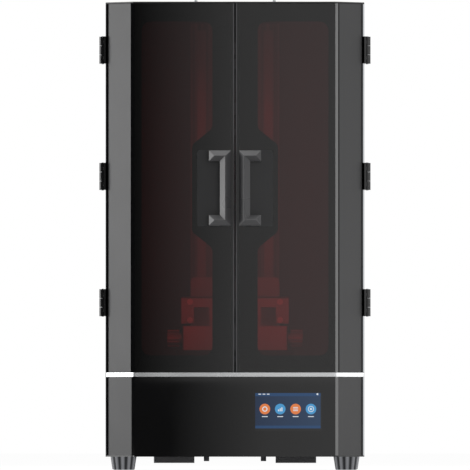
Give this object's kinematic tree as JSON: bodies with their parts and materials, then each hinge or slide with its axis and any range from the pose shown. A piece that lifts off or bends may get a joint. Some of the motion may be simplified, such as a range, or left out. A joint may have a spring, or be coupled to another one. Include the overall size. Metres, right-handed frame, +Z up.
{
  "type": "resin printer",
  "caption": "Tall free-standing resin printer with tinted double doors, a lifting build plate on a screw-driven tower, a resin vat over an exposure screen and a touch-screen base.",
  "frame": {"origin": "on the floor under the middle of the bounding box", "axes": "+X to the printer's right as seen from the front, +Y to the back, +Z up"},
  "size_m": [0.451, 0.42, 0.78],
  "materials": {
    "black_paint": "satin black powder coat",
    "grey_paint": "satin dark grey powder coat",
    "gloss_black": "polished black acrylic",
    "red_acrylic": "dark red UV-blocking acrylic",
    "screen_glass": "cover glass over a colour display",
    "polished_aluminium": "polished edge",
    "anodised_aluminium": "bead-blasted and anodised",
    "black_aluminium": "black anodised",
    "ground_steel": "ground and hardened",
    "black_plastic": "moulded, fine grain",
    "grey_metal": "turned",
    "rubber_black": "moulded foam rubber",
    "film_clear": "thin release film",
    "board_green": "solder mask",
    "lcd_black": "bonded mask display"
  },
  "bodies": {
    "chassis": {"base_floor": "black_paint", "base_front_panel": "gloss_black", "base_housing": "grey_paint", "control_board": "board_green", "deck_plate": "polished_aluminium", "door_catches": "black_plastic", "door_seals": "rubber_black", "fan_frames": "black_plastic", "fan_grilles": "black_plastic", "feet": "grey_metal", "heat_sink_bolts": "ground_steel", "hinge_frame_leaves": "black_paint", "hinge_pins": "ground_steel", "lcd_panel": "lcd_black", "left_side_panel": "grey_paint", "power_inlet": "black_plastic", "power_supply": "anodised_aluminium", "power_switch_case": "black_plastic", "rear_panel": "grey_paint", "resin_vat": "anodised_aluminium", "right_side_panel": "grey_paint", "roof_plate": "grey_paint", "roof_screws": "ground_steel", "touch_screen": "screen_glass", "usb_socket": "ground_steel", "uv_heat_sink": "anodised_aluminium", "uv_led_board": "anodised_aluminium", "uv_light_box": "anodised_aluminium", "vat_film": "film_clear", "z_bearings": "black_aluminium", "z_motor": "black_paint", "z_rails": "ground_steel", "z_tower": "anodised_aluminium"},
    "left_door": {"left_door_frame": "grey_paint", "left_door_window": "red_acrylic", "left_door_handle": "gloss_black", "left_handle_pad": "black_plastic", "left_door_hinge_leaves": "black_paint"},
    "right_door": {"right_door_frame": "grey_paint", "right_door_window": "red_acrylic", "right_door_handle": "gloss_black", "right_handle_pad": "black_plastic", "right_door_hinge_leaves": "black_paint"},
    "build_head": {"z_carriage": "anodised_aluminium", "rail_blocks": "ground_steel", "screw_nut": "ground_steel", "build_arm": "anodised_aluminium", "arm_bolts": "ground_steel", "platform_mount": "anodised_aluminium", "build_plate": "anodised_aluminium"},
    "screw": {"lead_screw": "ground_steel", "motor_coupling": "anodised_aluminium"},
    "left_clamp": {"left_clamp_knob": "black_aluminium"},
    "right_clamp": {"right_clamp_knob": "black_aluminium"},
    "left_vat_screw": {"left_vat_knob": "black_aluminium"},
    "right_vat_screw": {"right_vat_knob": "black_aluminium"},
    "left_intake": {"left_intake_rotor": "black_plastic"},
    "right_intake": {"right_intake_rotor": "black_plastic"},
    "exhaust": {"exhaust_rotor": "black_plastic"},
    "switch_rocker": {"power_switch_rocker": "black_plastic"}
  },
  "joints": [
    {"name": "left_door_swing", "type": "hinge", "parent": "chassis", "child": "left_door", "pos_m": [-0.2204, -0.11, 0.45], "axis": [0, 0, -1], "range_deg": [0, 135]},
    {"name": "right_door_swing", "type": "hinge", "parent": "chassis", "child": "right_door", "pos_m": [0.2204, -0.11, 0.45], "axis": [0, 0, 1], "range_deg": [0, 135]},
    {"name": "z_travel", "type": "slide", "parent": "chassis", "child": "build_head", "axis": [0, 0, 1], "range_m": [0, 0.4]},
    {"name": "screw_spin", "type": "hinge", "parent": "chassis", "child": "screw", "pos_m": [0, 0.16, 0.45], "axis": [0, 0, 1], "range_deg": [-3600, 18000]},
    {"name": "left_clamp_turn", "type": "hinge", "parent": "build_head", "child": "left_clamp", "pos_m": [-0.1, -0.018, 0.2196], "axis": [-1, 0, 0], "continuous": true},
    {"name": "right_clamp_turn", "type": "hinge", "parent": "build_head", "child": "right_clamp", "pos_m": [0.1, -0.018, 0.2196], "axis": [1, 0, 0], "continuous": true},
    {"name": "left_vat_screw_turn", "type": "hinge", "parent": "chassis", "child": "left_vat_screw", "pos_m": [-0.18, -0.018, 0.17], "axis": [0, 0, 1], "continuous": true},
    {"name": "right_vat_screw_turn", "type": "hinge", "parent": "chassis", "child": "right_vat_screw", "pos_m": [0.18, -0.018, 0.17], "axis": [0, 0, 1], "continuous": true},
    {"name": "left_intake_spin", "type": "hinge", "parent": "chassis", "child": "left_intake", "pos_m": [-0.1015, -0.026, 0.03], "axis": [0, 0, 1], "continuous": true},
    {"name": "right_intake_spin", "type": "hinge", "parent": "chassis", "child": "right_intake", "pos_m": [0.1015, -0.026, 0.03], "axis": [0, 0, 1], "continuous": true},
    {"name": "exhaust_spin", "type": "hinge", "parent": "chassis", "child": "exhaust", "pos_m": [-0.14, 0.195, 0.096], "axis": [0, 1, 0], "continuous": true},
    {"name": "rocker_tilt", "type": "hinge", "parent": "chassis", "child": "switch_rocker", "pos_m": [0.096, 0.203, 0.074], "axis": [-1, 0, 0], "range_deg": [0, 14]}
  ],
  "couplings": [
    {"joint": "screw_spin", "follows": "z_travel", "rad_per_m": 628.32}
  ]
}
